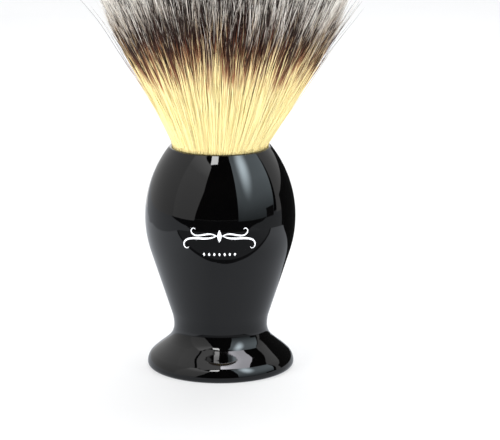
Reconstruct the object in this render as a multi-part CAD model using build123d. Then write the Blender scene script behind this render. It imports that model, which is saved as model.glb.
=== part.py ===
from build123d import *

import math
import os

# Shaving brush: a turned resin handle with a glued-in knot of synthetic hair.
# Millimetres, +Z up the brush, origin at the centre of the foot's flat underside.

# ---- driving dimensions: handle ----
handle_height = 54.0
foot_radius = 17.7
foot_underside_rounding = 1.0
foot_edge_rounding = 3.25
foot_slope_ends_from_vertical = 47.0
foot_slope_middle_from_vertical = 53.2
cove_radius = 4.8
waist_radius = 11.25
neck_radius_of_curve = 10.0
barrel_flare_from_vertical = 18.0
belly_lower_curve = 27.0
belly_upper_curve = 27.5
belly_radius = 18.05
rim_rounding = 0.45

# ---- driving dimensions: knot socket and what is glued into it ----
socket_radius = 11.3
socket_depth = 13.0
socket_mouth_chamfer = 0.25
socket_bed_thickness = 0.8
socket_film_thickness = 0.3
socket_film_height = 8.5
cup_wall = 0.7
cup_floor = 0.8
cup_height = 8.0
glue_plug_height = 4.0
thread_radius = 0.35
thread_turns = 3
thread_pitch = 0.75
bound_hair_radius = 9.4
bound_hair_height = 2.6

# ---- driving dimensions: hair ----
loft = 54.0
mouth_hair_radius = 11.2
flare_from_vertical = 29.0
straight_flare_height = 27.0
widest_height = 37.5
crown_shoulder_angle = 50.0
bend_pivot_above_rim = 10.0
bend_surface_radius = 18.0
bend_clearance = 0.3

# ---- driving dimensions: ballast and base ----
ballast_bore_radius = 7.5
ballast_bore_top = 20.0
ballast_radius = 7.0
ballast_length = 14.0
ballast_chamfer = 0.6
ballast_film_thickness = 0.5
base_recess_radius = 13.2
base_recess_depth = 0.9
base_disc_radius = 13.0
base_disc_thickness = 0.7
base_plug_radius = 7.5

rim = handle_height
socket_floor = rim - socket_depth
cup_bottom = socket_floor + socket_bed_thickness
cup_top = cup_bottom + cup_height
cup_outer_radius = socket_radius - socket_film_thickness
cup_inner_radius = cup_outer_radius - cup_wall
glue_bottom = cup_bottom + cup_floor
glue_top = glue_bottom + glue_plug_height
bend_pivot = rim + bend_pivot_above_rim
ballast_bottom = ballast_bore_top - ballast_film_thickness - ballast_length


def turned(lines):
    """A solid turned about Z, from a closed outline drawn as (radius, height)."""
    return revolve(Plane.XZ * make_face(lines), Axis.Z, 360)


def cylinder_between(radius, low, high):
    """An upright cylinder on the axis, from one height to another."""
    return Pos(0, 0, low) * Cylinder(radius, high - low, align=(Align.CENTER, Align.CENTER, Align.MIN))


def ahead(line, distance):
    """A straight run that carries on from the end of a line."""
    return Line(line @ 1, line @ 1 + (line % 1) * distance)


def turn(line, radius, degrees):
    """An arc that carries on smoothly from the end of a line: positive towards the axis."""
    return JernArc(line @ 1, line % 1, radius, degrees)


def one_minus_cos(degrees):
    """The sideways step of an arc of unit radius that turns away from the vertical."""
    return 1 - math.cos(math.radians(degrees))


def straight_between(sideways, radii, degrees):
    """The length of a slope at this angle that, with a curve at each end, steps sideways."""
    return (sideways - sum(radii) * one_minus_cos(degrees)) / math.sin(math.radians(degrees))


def long_arc_between(sideways, radii, ends, middle):
    """The radius of the two long arcs of an S-shaped slope that, with a curve at each end, steps sideways."""
    remaining = sideways - sum(radii) * one_minus_cos(ends)
    return remaining / 2 / (one_minus_cos(middle) - one_minus_cos(ends))


def handle_outline():
    """The handle's outer shape: rounded foot, cove, waist, pear-shaped barrel, rim."""
    long_arc = long_arc_between(
        foot_radius - waist_radius,
        (foot_edge_rounding, cove_radius),
        foot_slope_ends_from_vertical,
        foot_slope_middle_from_vertical,
    )
    long_turn = foot_slope_middle_from_vertical - foot_slope_ends_from_vertical
    flare = straight_between(
        belly_radius - waist_radius,
        (neck_radius_of_curve, belly_lower_curve),
        barrel_flare_from_vertical,
    )
    flat = foot_radius - foot_underside_rounding
    underside = Line((0, 0), (flat, 0))
    lower_edge = turn(underside, foot_underside_rounding, 90)
    upper_edge = turn(lower_edge, foot_edge_rounding, foot_slope_ends_from_vertical)
    outer_slope = turn(upper_edge, long_arc, long_turn)
    inner_slope = turn(outer_slope, long_arc, -long_turn)
    cove = turn(inner_slope, cove_radius, -foot_slope_ends_from_vertical)
    neck = turn(cove, neck_radius_of_curve, -barrel_flare_from_vertical)
    cone = ahead(neck, flare)
    lower_belly = turn(cone, belly_lower_curve, barrel_flare_from_vertical)
    above_belly = rim - (lower_belly @ 1).Y
    upper_belly = turn(
        lower_belly, belly_upper_curve, math.degrees(math.asin(above_belly / belly_upper_curve))
    )
    top = Line(upper_belly @ 1, (0, rim))
    axis = Line((0, rim), (0, 0))
    return [
        underside,
        lower_edge,
        upper_edge,
        outer_slope,
        inner_slope,
        cove,
        neck,
        cone,
        lower_belly,
        upper_belly,
        top,
        axis,
    ]


def make_handle():
    """Turned black resin handle, with the knot socket and the ballast bore."""
    body = turned(handle_outline())
    outer_rim = body.edges().filter_by(GeomType.CIRCLE).sort_by(Axis.Z)[-1]
    body = fillet(outer_rim, rim_rounding)
    body -= cylinder_between(socket_radius, socket_floor, rim)
    rim_edges = body.edges().filter_by(GeomType.CIRCLE).group_by(Axis.Z)[-1]
    mouth = rim_edges.sort_by(SortBy.RADIUS)[0]
    body = chamfer(mouth, socket_mouth_chamfer)
    body -= cylinder_between(ballast_bore_radius, 0, ballast_bore_top)
    body -= cylinder_between(base_recess_radius, 0, base_recess_depth)
    return body


def make_ballast_slug():
    """Steel weight that keeps the brush standing, sunk in the foot end of the handle."""
    slug = cylinder_between(ballast_radius, ballast_bottom, ballast_bottom + ballast_length)
    return chamfer(slug.edges().filter_by(GeomType.CIRCLE), ballast_chamfer)


def make_ballast_adhesive():
    """Epoxy that fills the bore around and above the weight."""
    filling = cylinder_between(ballast_bore_radius, ballast_bottom, ballast_bore_top)
    return filling - make_ballast_slug()


def make_base_plug():
    """Resin plug that closes the ballast bore from below."""
    return cylinder_between(base_plug_radius, base_recess_depth, ballast_bottom)


def make_base_disc():
    """Thin vinyl disc in the foot's recess, a hair above the surface the foot stands on."""
    top = base_recess_depth
    return cylinder_between(base_disc_radius, top - base_disc_thickness, top)


def make_socket_adhesive():
    """Glue bed under the knot, and the film squeezed up around its cup."""
    bed = cylinder_between(socket_radius, socket_floor, socket_floor + socket_film_height)
    return bed - cylinder_between(cup_outer_radius, cup_bottom, cup_top)


def make_knot_cup():
    """Moulded cup that holds the cut ends of the hair while the glue sets."""
    cup = cylinder_between(cup_outer_radius, cup_bottom, cup_top)
    return cup - cylinder_between(cup_inner_radius, glue_bottom, cup_top)


def make_glue_plug():
    """Hard puck of epoxy around the cut ends of the hair."""
    return cylinder_between(cup_inner_radius, glue_bottom, glue_top)


def make_binding_thread():
    """Turns of thread that bind the hair just above the glue."""
    turn_radius = bound_hair_radius + thread_radius
    turns = [
        Pos(0, 0, glue_top + thread_radius + index * thread_pitch) * Torus(turn_radius, thread_radius)
        for index in range(thread_turns)
    ]
    return Compound(children=turns)


def hair_outline():
    """The whole bundle: bound butts, flaring sides, widest ring, rounded crown."""
    bound_top = glue_top + bound_hair_height
    butts = Line((0, glue_top), (bound_hair_radius, glue_top))
    bound = Line(butts @ 1, (bound_hair_radius, bound_top))
    into_mouth = Line(bound @ 1, (mouth_hair_radius, rim))
    flare_tangent = math.tan(math.radians(flare_from_vertical))
    flare_end = (mouth_hair_radius + straight_flare_height * flare_tangent, rim + straight_flare_height)
    flare = Line(into_mouth @ 1, flare_end)
    side_curve = (widest_height - straight_flare_height) / math.sin(math.radians(flare_from_vertical))
    side = turn(flare, side_curve, flare_from_vertical)
    widest = (side @ 1).X
    shoulder_cos = math.cos(math.radians(crown_shoulder_angle))
    shoulder_sin = math.sin(math.radians(crown_shoulder_angle))
    lift = (1 - shoulder_sin) / shoulder_cos
    shoulder_curve = (loft - widest_height - widest * lift) / (1 - lift)
    crown_curve = shoulder_curve + (widest - shoulder_curve) / shoulder_cos
    shoulder = turn(side, shoulder_curve, crown_shoulder_angle)
    crown = turn(shoulder, crown_curve, 90 - crown_shoulder_angle)
    axis = Line(crown @ 1, (0, glue_top))
    return [butts, bound, into_mouth, flare, side, shoulder, crown, axis]


def bend_ball(radius):
    """Ball centred on the bend, so that the two halves of the hair turn without touching."""
    return Pos(0, 0, bend_pivot) * Sphere(radius)


def make_bristle_root():
    """The packed lower hair, from the glue up to the surface at which it starts to bend."""
    hair = turned(hair_outline())
    below_rim = hair & cylinder_between(socket_radius, socket_floor, rim)
    above_rim = hair & bend_ball(bend_surface_radius)
    return below_rim + above_rim


def make_bristle_loft():
    """The free hair, which bends over and springs back."""
    hair = turned(hair_outline())
    above_rim = hair - cylinder_between(socket_radius, socket_floor, rim)
    return (above_rim - bend_ball(bend_surface_radius + bend_clearance)).solids().sort_by(Axis.Z)[-1]


nodes = {
    "handle": make_handle(),
    "ballast_slug": make_ballast_slug(),
    "ballast_adhesive": make_ballast_adhesive(),
    "base_plug": make_base_plug(),
    "base_disc": make_base_disc(),
    "socket_adhesive": make_socket_adhesive(),
    "knot_cup": make_knot_cup(),
    "glue_plug": make_glue_plug(),
    "binding_thread": make_binding_thread(),
    "bristle_root": make_bristle_root(),
    "bristle_loft": make_bristle_loft(),
}

os.makedirs("parts", exist_ok=True)
for name, shape in nodes.items():
    export_step(shape, f"parts/{name}.step")
    size = shape.bounding_box().size
    print(f"{name}: {size.X:.2f} x {size.Y:.2f} x {size.Z:.2f} mm")
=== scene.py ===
import bpy
import math
import numpy as np
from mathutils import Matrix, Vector
from mathutils.bvhtree import BVHTree


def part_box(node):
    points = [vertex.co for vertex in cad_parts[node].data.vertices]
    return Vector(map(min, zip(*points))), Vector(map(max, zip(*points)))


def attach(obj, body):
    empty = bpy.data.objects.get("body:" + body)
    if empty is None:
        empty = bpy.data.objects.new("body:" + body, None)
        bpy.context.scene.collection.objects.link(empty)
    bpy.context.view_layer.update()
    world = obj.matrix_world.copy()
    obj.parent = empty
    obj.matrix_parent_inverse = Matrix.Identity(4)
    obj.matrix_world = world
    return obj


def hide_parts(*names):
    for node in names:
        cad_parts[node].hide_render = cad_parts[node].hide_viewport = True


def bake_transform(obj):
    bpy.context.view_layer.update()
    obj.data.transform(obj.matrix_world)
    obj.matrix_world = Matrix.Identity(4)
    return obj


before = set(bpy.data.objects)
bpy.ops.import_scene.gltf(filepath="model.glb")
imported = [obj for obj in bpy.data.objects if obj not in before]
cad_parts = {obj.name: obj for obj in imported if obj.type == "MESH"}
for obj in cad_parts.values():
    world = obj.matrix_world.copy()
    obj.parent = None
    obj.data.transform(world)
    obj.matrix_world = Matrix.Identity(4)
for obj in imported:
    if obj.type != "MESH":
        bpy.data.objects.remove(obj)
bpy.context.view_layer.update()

MM = 0.001
RNG = np.random.default_rng(27)

# ---- the brush's own heights and radii, from the frame ----
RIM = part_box("handle")[1].z
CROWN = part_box("bristle_loft")[1].z
WIDEST_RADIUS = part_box("bristle_loft")[1].x
LOFT = CROWN - RIM

# ---- the knot's outline, as the CAD hair has it ----
MOUTH_RADIUS = 11.0 * MM
FLARE = math.radians(29.0)
STRAIGHT_FLARE = 27.0 * MM
WIDEST_HEIGHT = 37.5 * MM
SHOULDER = math.radians(50.0)
OUTLINE_STEPS = 400

# ---- where the strands stand: places on the mouth are shares of its radius ----
SECTORS = 6
STRANDS_PER_SECTOR = 2700
OUTER_SHARE = 0.66
OUTER_FROM = 0.72
ROOT_DEPTH = 2.0 * MM
ROOT_SCATTER = 0.25
# Only the upper part of an inner strand shows, so it starts at this share of the loft.
INNER_START = (0.35, 0.5)
GOLDEN_SHARE = (math.sqrt(5) - 1) / 2

# ---- how they lean: each strand is drawn towards the tip of the tuft nearest to it ----
TUFTS = 7000
TUFT_PULL = 0.65
PULL_RANGE = (0.3, 1.0)
TUFT_TILT = 0.14
WANDER = 0.07
OUTERMOST_TIP = 1.02
TIP_SCATTER_MM = (-3.0, 0.8)
FAN_GROWTH = 1.4
LEAN = 1.3 * MM
LEAN_HEIGHT = 12.0 * MM

# ---- how they wave ----
TUFT_WAVE = 0.70 * MM
STRAND_WAVE = 0.42 * MM
WAVE_TURNS = (1.0, 2.8)
WAVE_GROWTH = 1.3

# ---- how thick they are ----
SIDES = 3
STRAND_RADIUS = 0.125 * MM
THICKNESS_RANGE = (0.75, 1.2)
TAPER = 0.72
TAPER_FROM = 0.55
TAPER_POWER = 1.5
POINT_LENGTH = 0.22
OUTER_STEPS = 14
INNER_STEPS = 6

# ---- how they are coloured: heights along a strand are shares of the loft ----
HAIR_COLUMNS = 128
COLUMN_HALF = 0.35
DARK_SHARE = 0.42
LIGHT_SHARE = 0.16
TUFT_LOYALTY = 0.86
# Painted shade: dark hairs are made commoner where the knot faces front or back and rarer at its sides, so
# the sides look lit and the front looks shaded.
FRONT_PAINTED_SHADE = 1.15
PAINTED_SHADE_PIVOT = 0.6
BAND_SHIFT = 0.17
BAND_RISE = 0.012
BAND_JITTER = 0.02
FRONT_BAND_RISE = 0.09
TEXTURE_MARGIN = 0.002

# ---- stray hairs ----
STRAYS = 380
STRAY_RADIUS = 0.055 * MM
STRAY_THICKNESS_RANGE = (0.8, 1.2)
STRAY_STEPS = 12
STRAY_HEIGHTS_MM = (16.0, 38.0)
STRAY_ROOTS = (0.94, 1.0)
STRAY_SPREAD = (1.02, 1.20)
STRAY_TILT = 0.05
RIGHT_STRAY_SHARE = 0.45
RIGHT_STRAY_FAN = 0.5

# ---- printed ornament: the pen and its strokes are drawn in millimetres ----
MARK_HEIGHT = 36.0 * MM
MARK_BARREL_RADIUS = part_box("handle")[1].x
INK_LIFT = 0.03 * MM
PEN_THIN = 0.12
LOZENGE_POINT = 0.02
LOZENGE_STEPS = 8
SMALL_LOZENGES = 7
SMALL_LOZENGE_GAP = 1.25
SMALL_LOZENGE_DROP = 4.5

# ---- set: places and distances in metres ----
FLOOR_HALF = 1.5
TABLE_REACH = 1.4
PLATE_LIFT = 0.04 * MM
CARD_CENTRE_HEIGHT = 0.036
CEILING = 0.80
GLARE_FALLOFF = 2.5
LIGHT_TARGET = (0, 0, 0.07)

# ---- camera ----
CAMERA_DISTANCE = 0.550
CAMERA_HEIGHT = 0.16165
CAMERA_SIDE = 0.00712
CAMERA_PITCH = math.radians(12.89)
CAMERA_LENS = 169.2


# ======================= node helpers =======================

# A Mix node's sockets for colours: its factor, its two sides and its result.
MIX_FACTOR, MIX_FIRST, MIX_SECOND = 0, 6, 7
MIX_COLOUR = 2


def new_material(name):
    """A node material, with its Principled shader."""
    material = bpy.data.materials.new(name)
    material.use_nodes = True
    shader = material.node_tree.nodes["Principled BSDF"]
    return material, shader


def add_node(material, kind, **values):
    """A node with its plain settings and its unlinked inputs set by name."""
    node = material.node_tree.nodes.new(kind)
    for key, value in values.items():
        if hasattr(node, key):
            setattr(node, key, value)
        else:
            node.inputs[key.replace("_", " ")].default_value = value
    return node


def join(material, output, target):
    """A link from a node's output to another one's input."""
    material.node_tree.links.new(output, target)


def math_node(material, operation, first, second=None, clamp=False):
    """A Math node's output. Each side is a socket or a number."""
    node = add_node(material, "ShaderNodeMath", operation=operation, use_clamp=clamp)
    for index, side in enumerate((first, second)):
        if side is None:
            continue
        if isinstance(side, (int, float)):
            node.inputs[index].default_value = side
        else:
            join(material, side, node.inputs[index])
    return node.outputs[0]


def mapped_coordinates(material, scale=(1, 1, 1)):
    """Object coordinates in metres, stretched along the axes."""
    place = add_node(material, "ShaderNodeTexCoord")
    mapping = add_node(material, "ShaderNodeMapping")
    mapping.inputs["Scale"].default_value = scale
    join(material, place.outputs["Object"], mapping.inputs["Vector"])
    return mapping.outputs["Vector"]


def noise(material, vector, scale, detail=3.0, roughness=0.5):
    """A noise texture's value."""
    node = add_node(material, "ShaderNodeTexNoise", Scale=scale, Detail=detail, Roughness=roughness)
    join(material, vector, node.inputs["Vector"])
    return node.outputs["Fac"]


def ramp(material, factor, stops):
    """A colour ramp through (position, colour) stops."""
    node = add_node(material, "ShaderNodeValToRGB")
    elements = node.color_ramp.elements
    while len(elements) < len(stops):
        elements.new(0.5)
    for element, (position, colour) in zip(elements, stops):
        element.position = position
        element.color = (*colour, 1.0)
    join(material, factor, node.inputs["Fac"])
    return node.outputs["Color"]


def grey_ramp(material, factor, low, high, start=0.0, end=1.0):
    """A number that goes from low to high as the factor goes from start to end."""
    node = add_node(material, "ShaderNodeMapRange", clamp=True)
    node.inputs["From Min"].default_value = start
    node.inputs["From Max"].default_value = end
    node.inputs["To Min"].default_value = low
    node.inputs["To Max"].default_value = high
    join(material, factor, node.inputs["Value"])
    return node.outputs["Result"]


def mix_colours(material, factor, first, second, blend="MIX"):
    """A Mix node's colour. The factor is a socket or a number, and each side a socket or a colour."""
    node = add_node(material, "ShaderNodeMix", data_type="RGBA", blend_type=blend)
    for index, side in {MIX_FACTOR: factor, MIX_FIRST: first, MIX_SECOND: second}.items():
        if isinstance(side, (int, float)):
            node.inputs[index].default_value = side
        elif isinstance(side, tuple):
            node.inputs[index].default_value = (*side, 1.0)
        else:
            join(material, side, node.inputs[index])
    return node.outputs[MIX_COLOUR]


def bump(material, shader, height, distance, strength=1.0):
    """Small relief, in metres, from a height between 0 and 1."""
    node = add_node(material, "ShaderNodeBump", Strength=strength, Distance=distance)
    join(material, height, node.inputs["Height"])
    join(material, node.outputs["Normal"], shader.inputs["Normal"])


# ======================= materials =======================


def black_resin():
    """Polished black resin: deep black, hairline polishing marks, a few specks of dust."""
    material, shader = new_material("black_resin")
    place = mapped_coordinates(material)
    cloud = noise(material, place, 90.0, detail=4.0)
    tone = ramp(material, cloud, [(0.3, (0.0005, 0.0005, 0.0006)), (0.7, (0.0011, 0.0010, 0.0010))])
    specks = add_node(material, "ShaderNodeTexVoronoi", Scale=260.0)
    join(material, place, specks.inputs["Vector"])
    speck_size, speck_rarity = 0.035, 0.9
    near_centre = math_node(material, "LESS_THAN", specks.outputs["Distance"], speck_size)
    chosen = math_node(material, "GREATER_THAN", specks.outputs["Color"], speck_rarity)
    dust = math_node(material, "MULTIPLY", near_centre, chosen)
    colour = mix_colours(material, dust, tone, (0.30, 0.30, 0.32))
    join(material, colour, shader.inputs["Base Color"])
    along_axis = mapped_coordinates(material, (1, 1, 14))
    turned_marks = noise(material, along_axis, 160.0, detail=6.0, roughness=0.65)
    roughness = grey_ramp(material, turned_marks, low=0.018, high=0.055, start=0.35, end=0.8)
    join(material, math_node(material, "ADD", roughness, dust, clamp=True), shader.inputs["Roughness"])
    shader.inputs["IOR"].default_value = 1.5
    ripple = noise(material, place, 70.0, detail=2.0)
    bump(material, shader, ripple, 0.02 * MM, strength=0.6)
    return material


def turned_steel():
    """Turned steel bar, with fine rings from the lathe."""
    material, shader = new_material("turned_steel")
    place = mapped_coordinates(material, (1, 1, 30))
    rings = noise(material, place, 200.0, detail=6.0, roughness=0.7)
    colour = ramp(material, rings, [(0.3, (0.32, 0.32, 0.33)), (0.7, (0.62, 0.62, 0.63))])
    join(material, colour, shader.inputs["Base Color"])
    shader.inputs["Metallic"].default_value = 1.0
    join(material, grey_ramp(material, rings, low=0.22, high=0.42), shader.inputs["Roughness"])
    bump(material, shader, rings, 0.02 * MM)
    return material


def amber_epoxy():
    """Set epoxy: amber, cloudy, with small bubbles."""
    material, shader = new_material("amber_epoxy")
    place = mapped_coordinates(material)
    cloud = noise(material, place, 500.0, detail=5.0)
    colour = ramp(material, cloud, [(0.25, (0.42, 0.26, 0.08)), (0.75, (0.66, 0.50, 0.24))])
    join(material, colour, shader.inputs["Base Color"])
    bubbles = add_node(material, "ShaderNodeTexVoronoi", Scale=1400.0)
    join(material, place, bubbles.inputs["Vector"])
    join(material, grey_ramp(material, cloud, low=0.12, high=0.3), shader.inputs["Roughness"])
    bump(material, shader, bubbles.outputs["Distance"], 0.03 * MM, strength=0.5)
    return material


def black_vinyl():
    """Fine-grained black vinyl sheet."""
    material, shader = new_material("black_vinyl")
    place = mapped_coordinates(material)
    grain = add_node(material, "ShaderNodeTexVoronoi", Scale=2200.0)
    join(material, place, grain.inputs["Vector"])
    cloud = noise(material, place, 300.0, detail=4.0)
    colour = ramp(material, cloud, [(0.3, (0.012, 0.012, 0.013)), (0.7, (0.026, 0.026, 0.027))])
    join(material, colour, shader.inputs["Base Color"])
    join(material, grey_ramp(material, cloud, low=0.5, high=0.72), shader.inputs["Roughness"])
    bump(material, shader, grain.outputs["Distance"], 0.06 * MM, strength=0.7)
    return material


def moulded_plastic():
    """Off-white moulded plastic with a fine spark texture."""
    material, shader = new_material("moulded_plastic")
    place = mapped_coordinates(material)
    spark = noise(material, place, 2600.0, detail=2.0)
    cloud = noise(material, place, 140.0)
    colour = ramp(material, cloud, [(0.3, (0.66, 0.63, 0.55)), (0.7, (0.76, 0.74, 0.68))])
    join(material, colour, shader.inputs["Base Color"])
    join(material, grey_ramp(material, spark, low=0.38, high=0.55), shader.inputs["Roughness"])
    bump(material, shader, spark, 0.02 * MM, strength=0.6)
    return material


def twisted_thread():
    """Cream binding thread, with the slanting lay of its plies, its grooves darkened as painted shade."""
    material, shader = new_material("twisted_thread")
    place = mapped_coordinates(material)
    lay = add_node(material, "ShaderNodeTexWave", Scale=900.0, Distortion=1.5, Detail=2.0)
    lay.bands_direction = "DIAGONAL"
    join(material, place, lay.inputs["Vector"])
    height = lay.outputs["Fac"]
    # The colour follows the lay's height: the grooves between the plies are darker, which is painted shade.
    colour = ramp(material, height, [(0.0, (0.50, 0.43, 0.30)), (0.6, (0.80, 0.74, 0.58))])
    join(material, colour, shader.inputs["Base Color"])
    join(material, grey_ramp(material, height, low=0.7, high=0.9), shader.inputs["Roughness"])
    bump(material, shader, height, 0.08 * MM)
    return material


def silver_print():
    """Silver ink, slightly mottled where it is thin."""
    material, shader = new_material("silver_print")
    place = mapped_coordinates(material)
    mottle = noise(material, place, 1800.0, detail=4.0, roughness=0.6)
    colour = ramp(material, mottle, [(0.3, (0.62, 0.63, 0.66)), (0.6, (0.88, 0.89, 0.91))])
    join(material, colour, shader.inputs["Base Color"])
    join(material, grey_ramp(material, mottle, low=0.32, high=0.5), shader.inputs["Roughness"])
    return material


def hair_random(material, column, seed):
    """A random number from 0 to 1 that is the same for every hair of one column."""
    source = add_node(material, "ShaderNodeTexWhiteNoise", noise_dimensions="1D")
    join(material, math_node(material, "ADD", column, seed), source.inputs["W"])
    return source.outputs["Value"]


def banded_hair():
    """Synthetic hair: cream root, darkened just above the rim as painted shade, brown-black band, and tips
    that are grey-white or stay dark.
    Across the texture lie the colour columns, and up it lies the height as a share of the loft."""
    shift_seed, strength_seed = 0.5, 80.5
    material, shader = new_material("banded_hair")
    uv = add_node(material, "ShaderNodeUVMap", uv_map="OFBake")
    split = add_node(material, "ShaderNodeSeparateXYZ")
    join(material, uv.outputs["UV"], split.inputs["Vector"])
    column = math_node(material, "FLOOR", math_node(material, "MULTIPLY", split.outputs["X"], HAIR_COLUMNS))
    shift = math_node(material, "MULTIPLY", hair_random(material, column, shift_seed), BAND_SHIFT)
    centred = math_node(material, "SUBTRACT", shift, BAND_SHIFT / 2 + BAND_RISE)
    along = math_node(material, "ADD", split.outputs["Y"], centred)
    root = [
        # The first stop darkens the cream just above the rim. This is painted shade where the hair goes into
        # the handle.
        (0.00, (0.84, 0.70, 0.33)),
        (0.06, (0.92, 0.79, 0.39)),
        (0.14, (0.93, 0.80, 0.395)),
        (0.33, (0.91, 0.76, 0.40)),
    ]
    banded = root + [
        (0.38, (0.52, 0.32, 0.16)),
        (0.42, (0.15, 0.060, 0.030)),
        (0.46, (0.032, 0.016, 0.011)),
        (0.53, (0.048, 0.030, 0.023)),
        (0.58, (0.52, 0.45, 0.38)),
        (0.72, (0.82, 0.78, 0.73)),
        (1.00, (0.92, 0.91, 0.88)),
    ]
    dark = root + [
        (0.37, (0.46, 0.23, 0.11)),
        (0.42, (0.19, 0.060, 0.032)),
        (0.50, (0.045, 0.019, 0.014)),
        (0.72, (0.030, 0.022, 0.019)),
        (1.00, (0.10, 0.09, 0.09)),
    ]
    light = root + [
        (0.42, (0.70, 0.53, 0.31)),
        (0.50, (0.42, 0.31, 0.20)),
        (0.60, (0.80, 0.76, 0.69)),
        (1.00, (0.92, 0.91, 0.88)),
    ]
    is_dark = math_node(material, "LESS_THAN", split.outputs["X"], DARK_SHARE)
    is_light = math_node(material, "GREATER_THAN", split.outputs["X"], 1 - LIGHT_SHARE)
    colour = mix_colours(material, is_dark, ramp(material, along, banded), ramp(material, along, dark))
    colour = mix_colours(material, is_light, colour, ramp(material, along, light))
    strength = grey_ramp(material, hair_random(material, column, strength_seed), low=0.94, high=1.0)
    shaded = mix_colours(material, 1.0, colour, strength, blend="MULTIPLY")
    join(material, shaded, shader.inputs["Base Color"])
    shader.inputs["Roughness"].default_value = 0.42
    shader.inputs["Specular IOR Level"].default_value = 0.3
    return material


# ======================= hair =======================


def straight_radius(height):
    """How far out the outermost hair is at a height above the rim."""
    return MOUTH_RADIUS + height * math.tan(FLARE)


def outline_radius(height):
    """The knot's outer radius at a height: a straight flare, a widest ring, a shoulder and a crown."""
    rise = WIDEST_HEIGHT - STRAIGHT_FLARE
    side_curve = rise / math.sin(FLARE)
    below_widest = np.clip(WIDEST_HEIGHT - height, 0, rise)
    side = WIDEST_RADIUS - side_curve + np.sqrt(side_curve**2 - below_widest**2)
    lift = (1 - math.sin(SHOULDER)) / math.cos(SHOULDER)
    shoulder_curve = (LOFT - WIDEST_HEIGHT - WIDEST_RADIUS * lift) / (1 - lift)
    crown_curve = shoulder_curve + (WIDEST_RADIUS - shoulder_curve) / math.cos(SHOULDER)
    above_widest = np.clip(height - WIDEST_HEIGHT, 0, shoulder_curve)
    shoulder = WIDEST_RADIUS - shoulder_curve + np.sqrt(shoulder_curve**2 - above_widest**2)
    from_middle = np.clip(height - (LOFT - crown_curve), 0, crown_curve)
    crown = np.sqrt(crown_curve**2 - from_middle**2)
    on_side = np.where(height < STRAIGHT_FLARE, straight_radius(height), side)
    shoulder_top = WIDEST_HEIGHT + shoulder_curve * math.sin(SHOULDER)
    return np.where(height < WIDEST_HEIGHT, on_side, np.where(height < shoulder_top, shoulder, crown))


def tip_height(reach):
    """Where a hair meets the knot's outline, from its share of the way out from the middle."""
    heights = np.linspace(STRAIGHT_FLARE, LOFT, OUTLINE_STEPS)
    shares = outline_radius(heights) / straight_radius(heights)
    return np.interp(reach, shares[::-1], heights[::-1])


def disc_points(count, inner, outer, first_angle, last_angle):
    """Points spread evenly by area, with a little scatter, in a sector of the unit disc."""
    index = np.arange(count)
    reach = np.sqrt(inner**2 + (index + 0.5) / count * (outer**2 - inner**2))
    angle = first_angle + (index * GOLDEN_SHARE) % 1 * (last_angle - first_angle)
    points = np.stack([reach * np.cos(angle), reach * np.sin(angle)], axis=1)
    spacing = math.sqrt((outer**2 - inner**2) * (last_angle - first_angle) / 2 / count)
    return points + RNG.normal(0, ROOT_SCATTER * spacing, (count, 2))


def nearest_tufts(roots, tufts):
    """The index of the tuft nearest to each root."""
    return np.argmin(((roots[:, None, :] - tufts[None, :, :]) ** 2).sum(axis=2), axis=1)


def random_waves(count):
    """How many waves each line has over the loft, and where they start, sideways and in depth."""
    return np.concatenate([RNG.uniform(*WAVE_TURNS, (1, count)), RNG.uniform(0, 1, (2, count))])


def wave_offset(part, waves, size):
    """The sideways and depth offset of each wavy line, which grows towards the tip."""
    turns, side_phase, depth_phase = waves[:, :, None]
    grown = size * part**WAVE_GROWTH
    side = grown * np.sin(2 * math.pi * (turns * part + side_phase))
    depth = grown * np.sin(2 * math.pi * (turns * part + depth_phase))
    return side, depth


def place_lines(roots, tips, bottom, top, steps, waves):
    """Centre lines from the bottom to the top height, fanned out from the mouth and wavy."""
    share = np.linspace(0, 1, steps)
    height = bottom[:, None] + share[None, :] * (top - bottom)[:, None]
    part = np.clip(height / LOFT, 0, 1)
    disc = roots[:, None, :] + (tips - roots)[:, None, :] * part[:, :, None] ** FAN_GROWTH
    radius = straight_radius(np.maximum(height, 0))
    lean = LEAN * (1 - np.exp(-np.maximum(height, 0) / LEAN_HEIGHT))
    shared_side, shared_depth = wave_offset(part, waves, TUFT_WAVE)
    own_side, own_depth = wave_offset(part, random_waves(len(roots)), STRAND_WAVE)
    x = disc[:, :, 0] * radius + lean + shared_side + own_side
    y = disc[:, :, 1] * radius + shared_depth + own_depth
    return np.stack([x, y, RIM + height], axis=2)


def strand_lines(roots, targets, waves, first_height, steps):
    """The centre line of each strand, as points from its lower end to its tip."""
    count = len(roots)
    pull = TUFT_PULL * RNG.uniform(*PULL_RANGE, (count, 1))
    tips = roots + (targets - roots) * pull + RNG.normal(0, WANDER, (count, 2))
    reach = np.linalg.norm(tips, axis=1)
    tips *= np.minimum(1.0, OUTERMOST_TIP / reach)[:, None]
    reach = np.linalg.norm(tips, axis=1)
    top = tip_height(np.minimum(reach, 1.0)) + RNG.uniform(*TIP_SCATTER_MM, count) * MM
    return place_lines(roots, tips, first_height, top, steps, waves)


def stray_lines(count, steps):
    """Loose hairs that leave the side of the knot at their own angles, more of them on its right."""
    angle = RNG.uniform(-math.pi, math.pi, count)
    on_right = RNG.uniform(0, 1, count) < RIGHT_STRAY_SHARE
    angle = np.where(on_right, RNG.normal(0, RIGHT_STRAY_FAN, count), angle)
    outward = np.stack([np.cos(angle), np.sin(angle)], axis=1)
    roots = outward * RNG.uniform(*STRAY_ROOTS, (count, 1))
    spread = RNG.uniform(*STRAY_SPREAD, (count, 1))
    tips = roots * spread + RNG.normal(0, STRAY_TILT, (count, 2))
    top = RNG.uniform(*STRAY_HEIGHTS_MM, count) * MM
    return place_lines(roots, tips, np.full(count, -ROOT_DEPTH), top, steps, random_waves(count))


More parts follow.
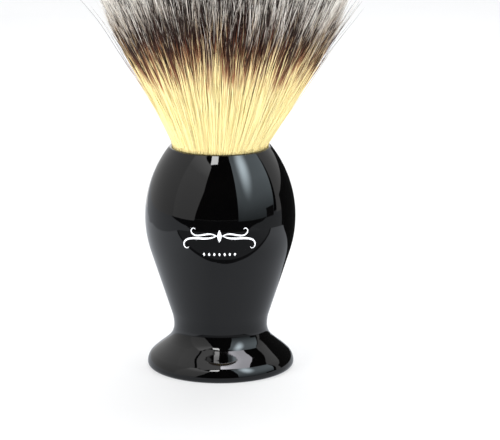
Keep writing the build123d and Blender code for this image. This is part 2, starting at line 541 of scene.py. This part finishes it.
def tube_rings(lines, thickness):
    """Rings of a few corners around each line, which narrow to the tip."""
    count, steps, _ = lines.shape
    ahead = np.gradient(lines, axis=1)
    ahead /= np.linalg.norm(ahead, axis=2, keepdims=True)
    spin = RNG.uniform(0, 2 * math.pi, count)
    guide = np.stack([np.cos(spin), np.sin(spin), np.zeros(count)], axis=1)[:, None, :]
    side = guide - (guide * ahead).sum(axis=2, keepdims=True) * ahead
    side /= np.linalg.norm(side, axis=2, keepdims=True)
    other = np.cross(ahead, side)
    share = np.linspace(0, 1, steps)
    near_tip = np.clip((share - TAPER_FROM) / (1 - TAPER_FROM), 0, 1)
    taper = 1 - TAPER * near_tip**TAPER_POWER
    width = (thickness[:, None] * taper[None, :])[:, :, None]
    corners = []
    for corner in range(SIDES):
        angle = 2 * math.pi * corner / SIDES
        corners.append(lines + width * (side * math.cos(angle) + other * math.sin(angle)))
    return np.stack(corners, axis=2)


def strand_faces(steps):
    """The faces of one closed strand: its sides, a pointed tip and a cap at the root."""
    faces = []
    for step in range(steps - 1):
        low, high = SIDES * step, SIDES * (step + 1)
        for corner in range(SIDES):
            after = (corner + 1) % SIDES
            faces.append((low + corner, low + after, high + after))
            faces.append((low + corner, high + after, high + corner))
    last, point = SIDES * (steps - 1), SIDES * steps
    faces += [(last + corner, last + (corner + 1) % SIDES, point) for corner in range(SIDES)]
    faces.append((0, 2, 1))
    return np.array(faces)


def frontness(places):
    """How much each place lies to the front or back, from 0 at the sides to 1."""
    return places[:, 1] ** 2 / (places**2).sum(axis=1)


def strand_batch(lines, thickness, column):
    """Vertices, faces and texture places of one batch of strands with the same number of steps."""
    count, steps, _ = lines.shape
    rings = tube_rings(lines, thickness).reshape(count, steps * SIDES, 3)
    end = lines[:, -1] + (lines[:, -1] - lines[:, -2]) * POINT_LENGTH
    vertices = np.concatenate([rings, end[:, None, :]], axis=1)
    first_vertex = np.arange(count) * (steps * SIDES + 1)
    faces = strand_faces(steps)[None, :, :] + first_vertex[:, None, None]
    offsets = np.append(np.tile(np.linspace(-COLUMN_HALF, COLUMN_HALF, SIDES), steps), 0.0)
    u = (column[:, None] + 0.5 + offsets[None, :]) / HAIR_COLUMNS
    whole = lines[:, -1] - lines[:, 0]
    slant = np.linalg.norm(whole, axis=1) / whole[:, 2]
    along = (vertices[:, :, 2] - RIM) * slant[:, None] / LOFT
    jitter = RNG.normal(0, BAND_JITTER, count)
    lowered = jitter - FRONT_BAND_RISE * frontness(lines[:, -1, :2])
    v = np.clip(along + lowered[:, None], TEXTURE_MARGIN, 1 - TEXTURE_MARGIN)
    return vertices.reshape(-1, 3), faces.reshape(-1, 3), np.stack([u, v], axis=2).reshape(-1, 2)


def mesh_object(name, vertices, faces, places=None, smooth=True):
    """A mesh piece from arrays of triangles, with its texture places."""
    mesh = bpy.data.meshes.new(name)
    mesh.vertices.add(len(vertices))
    mesh.vertices.foreach_set("co", np.ascontiguousarray(vertices, np.float32).ravel())
    mesh.loops.add(faces.size)
    mesh.loops.foreach_set("vertex_index", np.ascontiguousarray(faces, np.int32).ravel())
    mesh.polygons.add(len(faces))
    mesh.polygons.foreach_set("loop_start", np.arange(len(faces), dtype=np.int32) * 3)
    mesh.polygons.foreach_set("use_smooth", np.full(len(faces), smooth))
    if places is not None:
        layer = mesh.uv_layers.new(name="OFBake")
        layer.data.foreach_set("uv", places[faces.ravel()].astype(np.float32).ravel())
    mesh.update(calc_edges=True)
    piece = bpy.data.objects.new(name, mesh)
    bpy.context.scene.collection.objects.link(piece)
    return piece


def joined(batches):
    """One set of vertices, faces and places from several."""
    start = 0
    vertices, faces, places = [], [], []
    for batch_vertices, batch_faces, batch_places in batches:
        vertices.append(batch_vertices)
        faces.append(batch_faces + start)
        places.append(batch_places)
        start += len(batch_vertices)
    return np.concatenate(vertices), np.concatenate(faces), np.concatenate(places)


def columns_with_painted_shade(places):
    """A colour column for each place: dark hairs come first, and are made commoner in front and behind and
    rarer at the sides, as painted shade.
    """
    # Painted shade: the power tips the draw towards dark columns in front and behind, and towards light ones
    # at the sides.
    power = 1 + FRONT_PAINTED_SHADE * (frontness(places) - PAINTED_SHADE_PIVOT)
    return (RNG.uniform(0, 1, len(places)) ** power * HAIR_COLUMNS).astype(int)


def make_tufts(count):
    """The places of the tufts' roots and tips, their waves and their colours."""
    places = disc_points(count, 0, 1, 0, 2 * math.pi)
    targets = places + RNG.normal(0, TUFT_TILT, (count, 2))
    return places, targets, random_waves(count), columns_with_painted_shade(places)


def make_batch(roots, tufts, first_height, steps):
    """One batch of strands: those of a tuft lean and wave together, and mostly share its colour."""
    places, targets, waves, columns = tufts
    nearest = nearest_tufts(roots, places)
    lines = strand_lines(roots, targets[nearest], waves[:, nearest], first_height, steps)
    loyal = RNG.uniform(0, 1, len(roots)) < TUFT_LOYALTY
    column = np.where(loyal, columns[nearest], columns_with_painted_shade(roots))
    thickness = STRAND_RADIUS * RNG.uniform(*THICKNESS_RANGE, len(roots))
    return strand_batch(lines, thickness, column)


def add_hair_piece(name, parts, material):
    """A piece of the knot, made in place of the CAD hair, which it hides."""
    piece = mesh_object(name, *parts)
    piece.data.materials.append(material)
    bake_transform(piece)
    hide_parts("bristle_root", "bristle_loft")


def add_bristles(material):
    """The whole knot, as sectors of separate strands, with a few strays around it."""
    tufts = make_tufts(TUFTS)
    outer_count = int(STRANDS_PER_SECTOR * OUTER_SHARE)
    inner_count = STRANDS_PER_SECTOR - outer_count
    for sector in range(SECTORS):
        first = 2 * math.pi * sector / SECTORS
        last = 2 * math.pi * (sector + 1) / SECTORS
        outer = disc_points(outer_count, OUTER_FROM, 1, first, last)
        inner = disc_points(inner_count, 0, OUTER_FROM, first, last)
        outer_start = np.full(outer_count, -ROOT_DEPTH)
        inner_start = RNG.uniform(*INNER_START, inner_count) * LOFT
        batches = [
            make_batch(outer, tufts, outer_start, OUTER_STEPS),
            make_batch(inner, tufts, inner_start, INNER_STEPS),
        ]
        add_hair_piece(f"bristles_{sector + 1}", joined(batches), material)
    strays = strand_batch(
        stray_lines(STRAYS, STRAY_STEPS),
        STRAY_RADIUS * RNG.uniform(*STRAY_THICKNESS_RANGE, STRAYS),
        RNG.integers(0, HAIR_COLUMNS, STRAYS),
    )
    add_hair_piece("stray_bristles", strays, material)


# ======================= printed ornament =======================


def barrel_point(skin, sideways, up, lift):
    """The point on the front of the barrel at a place on the flat mark, lifted off its surface."""
    angle = sideways / MARK_BARREL_RADIUS
    outward = Vector((math.sin(angle), -math.cos(angle), 0))
    start = outward * 2 * MARK_BARREL_RADIUS + Vector((0, 0, MARK_HEIGHT + up))
    return skin.ray_cast(start, -outward)[0] + outward * lift


def swash(start, heading, bends, length, steps=48):
    """A pen curve whose bend, in radians per millimetre, follows a few values along its length."""
    x, y = start
    points = [start]
    step = length / steps
    places = np.linspace(0, 1, len(bends))
    for index in range(steps):
        heading += float(np.interp((index + 0.5) / steps, places, bends)) * step
        x += step * math.cos(heading)
        y += step * math.sin(heading)
        points.append((x, y))
    return points


def stroke(points, thin, thick, thickest_at=0.5):
    """The two edges of a pen stroke along a curve, in millimetres."""
    path = np.array(points, float)
    ahead = np.gradient(path, axis=0)
    ahead /= np.linalg.norm(ahead, axis=1, keepdims=True)
    across = np.stack([-ahead[:, 1], ahead[:, 0]], axis=1)
    share = np.linspace(0, 1, len(path)) ** (math.log(0.5) / math.log(thickest_at))
    half = (thin + (thick - thin) * np.sin(math.pi * share))[:, None] / 2
    return path - across * half, path + across * half


def lozenge(x, y, width, height):
    """A pointed oval with its middle at a place, in millimetres."""
    heights = np.linspace(-height / 2, height / 2, LOZENGE_STEPS + 1)
    return stroke([(x, y + rise) for rise in heights], LOZENGE_POINT, width)


def mark_strokes():
    """Two swashes to each side of a lozenge, with a row of small lozenges below."""
    lower_bends = (0.32, 0.15, -0.02, -0.16, -0.75, -1.9)
    upper_bends = (-0.60, -0.25, 0.12, 0.85, 2.2)
    lower = swash((0.6, 0.2), math.radians(-38), lower_bends, length=11.0)
    upper = swash((0.6, -0.1), math.radians(48), upper_bends, length=8.4)
    strokes = []
    for side in (1, -1):
        for curve, thick in ((lower, 0.50), (upper, 0.40)):
            mirrored = [(side * x, y) for x, y in curve]
            strokes.append(stroke(mirrored, PEN_THIN, thick, thickest_at=0.42))
    strokes.append(lozenge(0, 0, width=1.0, height=3.0))
    for index in range(SMALL_LOZENGES):
        place = (index - (SMALL_LOZENGES - 1) / 2) * SMALL_LOZENGE_GAP
        strokes.append(lozenge(place, -SMALL_LOZENGE_DROP, width=0.52, height=0.8))
    return strokes


def slip(left, right, skin, start):
    """Vertices and faces of one closed slip of ink, from the two edges of a stroke."""
    count = len(left)
    vertices = []
    for lift in (INK_LIFT, -INK_LIFT):
        for edge in (left, right):
            vertices += [barrel_point(skin, x * MM, y * MM, lift) for x, y in edge]
    top_left, top_right, under_left, under_right = (start + count * side for side in range(4))
    loop = [top_left, top_right, under_right, under_left]
    quads = []
    for index in range(count - 1):
        for side in range(4):
            low, high = loop[side] + index, loop[(side + 1) % 4] + index
            quads.append((low, high, high + 1, low + 1))
    quads.append(tuple(reversed(loop)))
    quads.append(tuple(corner + count - 1 for corner in loop))
    faces = []
    for a, b, c, d in quads:
        faces += [(a, b, c), (a, c, d)]
    return vertices, faces


def add_printed_mark(material):
    """The ornament, as closed slips of ink a few hundredths thick on the barrel."""
    skin = BVHTree.FromObject(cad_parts["handle"], bpy.context.evaluated_depsgraph_get())
    vertices, faces = [], []
    for left, right in mark_strokes():
        slip_vertices, slip_faces = slip(left, right, skin, len(vertices))
        vertices += slip_vertices
        faces += slip_faces
    mark = mesh_object("printed_mark", np.array(vertices), np.array(faces), smooth=False)
    mark.data.materials.append(material)
    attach(mark, "handle")


# ======================= stage =======================


def add_world():
    """Pale surroundings for the camera and soft fill, dark ones in reflections."""
    world = bpy.data.worlds.new("studio")
    bpy.context.scene.world = world
    world.use_nodes = True
    nodes, links = world.node_tree.nodes, world.node_tree.links
    background = nodes["Background"]
    path = nodes.new("ShaderNodeLightPath")
    to_glossy = nodes.new("ShaderNodeMix")
    to_glossy.data_type = "RGBA"
    to_glossy.inputs[MIX_FIRST].default_value = (0.62, 0.63, 0.65, 1)
    to_glossy.inputs[MIX_SECOND].default_value = (0.002, 0.002, 0.002, 1)
    links.new(path.outputs["Is Glossy Ray"], to_glossy.inputs[MIX_FACTOR])
    to_camera = nodes.new("ShaderNodeMix")
    to_camera.data_type = "RGBA"
    to_camera.inputs[MIX_SECOND].default_value = (0.98, 0.985, 0.99, 1)
    links.new(path.outputs["Is Camera Ray"], to_camera.inputs[MIX_FACTOR])
    links.new(to_glossy.outputs[MIX_COLOUR], to_camera.inputs[MIX_FIRST])
    links.new(to_camera.outputs[MIX_COLOUR], background.inputs["Color"])


# A square's corners, anticlockwise from its low left one, and its two faces.
UNIT_SQUARE = np.array([(0, 0), (1, 0), (1, 1), (0, 1)], float)
SQUARE_FACES = np.array([(0, 1, 2), (0, 2, 3)])


def add_floor():
    """Plain pale tabletop, lit from within like a light table."""
    corners = [(x, y, 0) for x, y in (UNIT_SQUARE * 2 - 1) * FLOOR_HALF]
    floor = mesh_object("floor", np.array(corners), SQUARE_FACES, smooth=False)
    material, shader = new_material("pale_floor")
    mottle = noise(material, mapped_coordinates(material), 12.0)
    colour = ramp(material, mottle, [(0.3, (0.32, 0.322, 0.325)), (0.7, (0.34, 0.341, 0.343))])
    join(material, colour, shader.inputs["Base Color"])
    shader.inputs["Roughness"].default_value = 0.6
    shader.inputs["Specular IOR Level"].default_value = 0.0
    shader.inputs["Emission Color"].default_value = (1, 1, 1, 1)
    shader.inputs["Emission Strength"].default_value = 0.52
    floor.data.materials.append(material)


def soft_light(name, place, target, size, power, colour=(1, 1, 1)):
    """A square soft light that lights the object but isn't seen or mirrored itself."""
    data = bpy.data.lights.new(name, "AREA")
    data.size = size
    data.energy = power
    data.color = colour
    light = bpy.data.objects.new(name, data)
    light.location = place
    direction = Vector(target) - Vector(place)
    light.rotation_euler = direction.to_track_quat("-Z", "Y").to_euler()
    light.visible_camera = False
    light.visible_glossy = False
    bpy.context.scene.collection.objects.link(light)


def squared_offset(material, place, middle, half_width):
    """The square of a place's distance from a middle, counted in half widths."""
    offset = math_node(material, "SUBTRACT", place, middle)
    share = math_node(material, "DIVIDE", offset, half_width)
    return math_node(material, "MULTIPLY", share, share)


def hot_spot(material, split, across, up, half_width, half_height, power):
    """An oval of light that fades out towards its edge, at a place on a card."""
    sideways = squared_offset(material, split.outputs["X"], across, half_width)
    upwards = squared_offset(material, split.outputs["Y"], up, half_height)
    distance = math_node(material, "ADD", sideways, upwards)
    nearness = math_node(material, "SUBTRACT", 1.0, distance, clamp=True)
    spot = math_node(material, "POWER", nearness, GLARE_FALLOFF)
    return math_node(material, "MULTIPLY", spot, power)


def card_glow(material, split, levels):
    """A card's glow, through levels that are evenly spaced from its lower edge to its upper one."""
    brightest = max(levels)
    if len(levels) == 1:
        return math_node(material, "MULTIPLY", 1.0, brightest)
    last = len(levels) - 1
    stops = [(index / last, (level / brightest,) * 3) for index, level in enumerate(levels)]
    return math_node(material, "MULTIPLY", ramp(material, split.outputs["Y"], stops), brightest)


def mirror_card(name, corners, levels, colour=(1, 1, 1), glare=None):
    """A glowing or dark card around the set that shows only in polished surfaces.
    levels is its glow from the lower edge to the upper one, and glare describes a hot spot on it."""
    card = mesh_object(name, np.array(corners, float), SQUARE_FACES, UNIT_SQUARE, smooth=False)
    material = bpy.data.materials.new(name)
    material.use_nodes = True
    nodes = material.node_tree.nodes
    nodes.remove(nodes["Principled BSDF"])
    uv = add_node(material, "ShaderNodeUVMap", uv_map="OFBake")
    split = add_node(material, "ShaderNodeSeparateXYZ")
    join(material, uv.outputs["UV"], split.inputs["Vector"])
    strength = card_glow(material, split, levels)
    if glare:
        strength = math_node(material, "ADD", strength, hot_spot(material, split, **glare))
    glow = add_node(material, "ShaderNodeEmission")
    glow.inputs["Color"].default_value = (*colour, 1)
    join(material, strength, glow.inputs["Strength"])
    join(material, glow.outputs[0], nodes["Material Output"].inputs["Surface"])
    card.data.materials.append(material)
    card.visible_camera = False
    card.visible_diffuse = False
    card.visible_transmission = False
    card.visible_shadow = False


def around(azimuth, elevation, distance):
    """A place round the barrel: azimuth 0 is towards the camera, positive to its right."""
    turn, lift = math.radians(azimuth), math.radians(elevation)
    flat = distance * math.cos(lift)
    height = CARD_CENTRE_HEIGHT + distance * math.sin(lift)
    return (flat * math.sin(turn), -flat * math.cos(turn), height)


def card_around(name, directions, distance, levels, colour=(1, 1, 1), glare=None):
    """A mirror card from the directions of its corners: low left, low right, high right, high left."""
    corners = [around(azimuth, elevation, distance) for azimuth, elevation in directions]
    mirror_card(name, corners, levels, colour, glare)


def floor_plate(name, corners, levels):
    """A mirror card just above the floor, whose levels run from its left side to its right one."""
    mirror_card(name, [(x, y, PLATE_LIFT) for x, y in corners], levels, (0.90, 0.94, 1.0))


def ceiling_card(name, corners, levels, colour=(1, 1, 1)):
    """A mirror card flat under the ceiling."""
    mirror_card(name, [(x, y, CEILING) for x, y in corners], levels, colour)


def add_lights():
    """Soft light from both sides, the front and above."""
    soft_light("key", (-0.70, -0.60, 0.28), LIGHT_TARGET, size=0.45, power=8.0)
    soft_light("side", (0.75, -0.45, 0.26), LIGHT_TARGET, size=0.45, power=5.5, colour=(0.95, 0.98, 1.0))
    soft_light("front", (0.05, -0.95, 0.16), LIGHT_TARGET, size=0.5, power=5.0)
    soft_light("top", (0.05, 0.35, 0.80), (0, 0, 0.08), size=0.6, power=7.0)


def add_wall_cards():
    """The room round the brush: walls, pale panels, a window and its sill, a lamp and a softbox."""
    cool = (0.80, 0.93, 1.0)
    left = [(-170, -20), (-75, -20), (-75, 42), (-170, 30)]
    card_around("wall_left", left, distance=0.95, levels=[0.62, 0.62, 0.75, 0.8])
    panel = [(-75, -6), (-40, -6), (-27, 26), (-75, 26)]
    card_around("panel_left", panel, distance=0.85, levels=[0.72, 0.9])
    panel_top = [(-75, 26), (-27, 26), (-21, 51), (-75, 60)]
    card_around("panel_left_top", panel_top, distance=0.85, levels=[0.9, 1.0, 1.9])
    window = [(28, -6), (88, -6), (108, 46), (28, 64)]
    bright = [0.2, 0.7, 1.5, 2.0, 2.0, 1.4]
    glare = {"across": 0.33, "up": 0.74, "half_width": 0.24, "half_height": 0.42, "power": 10.0}
    card_around("window", window, distance=0.8, levels=bright, colour=cool, glare=glare)
    sill = [(75, -6), (88, -6), (90, 4), (75, 4)]
    card_around("sill", sill, distance=0.6, levels=[0.03])
    right = [(92, -20), (175, -20), (175, 20), (108, 46)]
    card_around("wall_right", right, distance=0.9, levels=[0.6, 0.75])
    lamp = [(-24, 53), (-6, 55), (-3, 66), (-26, 62)]
    card_around("lamp_top", lamp, distance=0.75, levels=[13.0])
    softbox = [(176, -2), (212, -2), (212, 62), (176, 62)]
    card_around("softbox_back", softbox, distance=0.9, levels=[1.6, 2.2])


def add_ceiling_cards():
    """A broad lamp over the brush and to its right, and the dimmer ceiling to its left."""
    lamp = [(0.0, -0.28), (0.0, 0.36), (0.46, 0.36), (0.38, -0.20)]
    ceiling_card("lamp_ceiling", lamp, [14.0, 9.0, 6.5, 6.0], colour=(0.94, 0.93, 1.0))
    pale = [(-0.34, -0.36), (-0.31, 0.45), (0.0, 0.45), (0.0, -0.28)]
    ceiling_card("ceiling_left", pale, [1.1, 1.3])
    far_pale = [(-0.95, -0.40), (-0.95, 0.45), (-0.34, 0.45), (-0.38, -0.40)]
    ceiling_card("ceiling_far_left", far_pale, [0.8, 0.9])


def add_table_cards():
    """The dark side of the box behind the brush, and the table with its edges."""
    box_top = 62 * MM
    box_left, box_right = (0.0, 62 * MM), (178 * MM, 43 * MM)
    side = [(*box_left, 0.0), (*box_right, 0.0), (*box_right, box_top), (*box_left, box_top)]
    mirror_card("box_behind", side, [0.02])
    left, right, front, back = -0.135, 0.182, -0.165, 0.2
    edge_left, edge_right = (left, -62 * MM), (right, -22 * MM)
    edge = 5 * MM
    before_left, before_right = (left, edge_left[1] - edge), (right, edge_right[1] - edge)
    near = [edge_left, (left, back), (right, back), edge_right]
    floor_plate("table_near", near, [1.02, 0.94, 0.60, 0.68, 1.0, 1.08])
    floor_plate("table_edge", [before_left, edge_left, edge_right, before_right], [0.08])
    step = [(left, front), before_left, before_right, (right, front)]
    floor_plate("table_front", step, [0.28, 0.28, 0.32, 0.5])
    reach, right_back = TABLE_REACH, 0.3
    floor_plate("table_far", [(-reach, -reach), (-reach, front), (reach, front), (reach, -reach)], [0.03])
    floor_plate("table_left", [(-reach, front), (-reach, reach), (left, reach), (left, front)], [0.62, 0.66])
    beside = [(right, front), (right, right_back), (reach, right_back), (reach, front)]
    floor_plate("table_right", beside, [0.42])


def add_camera():
    """A camera with a long lens, higher than the crown, which looks down at the brush."""
    data = bpy.data.cameras.new("camera")
    data.lens = CAMERA_LENS
    data.sensor_width = 36.0
    data.clip_start = 0.01
    camera = bpy.data.objects.new("camera", data)
    camera.location = (CAMERA_SIDE, -CAMERA_DISTANCE, CAMERA_HEIGHT)
    camera.rotation_euler = (math.pi / 2 - CAMERA_PITCH, 0, 0)
    bpy.context.scene.collection.objects.link(camera)
    bpy.context.scene.camera = camera


# ======================= the brush =======================


def finish_nodes():
    """A material for every CAD node that stays. Nodes of one substance share theirs."""
    resin = black_resin()
    epoxy = amber_epoxy()
    looks = {
        "handle": resin,
        "base_plug": resin,
        "ballast_slug": turned_steel(),
        "ballast_adhesive": epoxy,
        "socket_adhesive": epoxy,
        "glue_plug": epoxy,
        "base_disc": black_vinyl(),
        "knot_cup": moulded_plastic(),
        "binding_thread": twisted_thread(),
    }
    for name, material in looks.items():
        for material_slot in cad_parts[name].material_slots:
            material_slot.material = material


add_camera()
add_world()
add_floor()
add_lights()
add_wall_cards()
add_ceiling_cards()
add_table_cards()
finish_nodes()
add_bristles(banded_hair())
add_printed_mark(silver_print())

bpy.context.scene.view_settings.view_transform = "Standard"
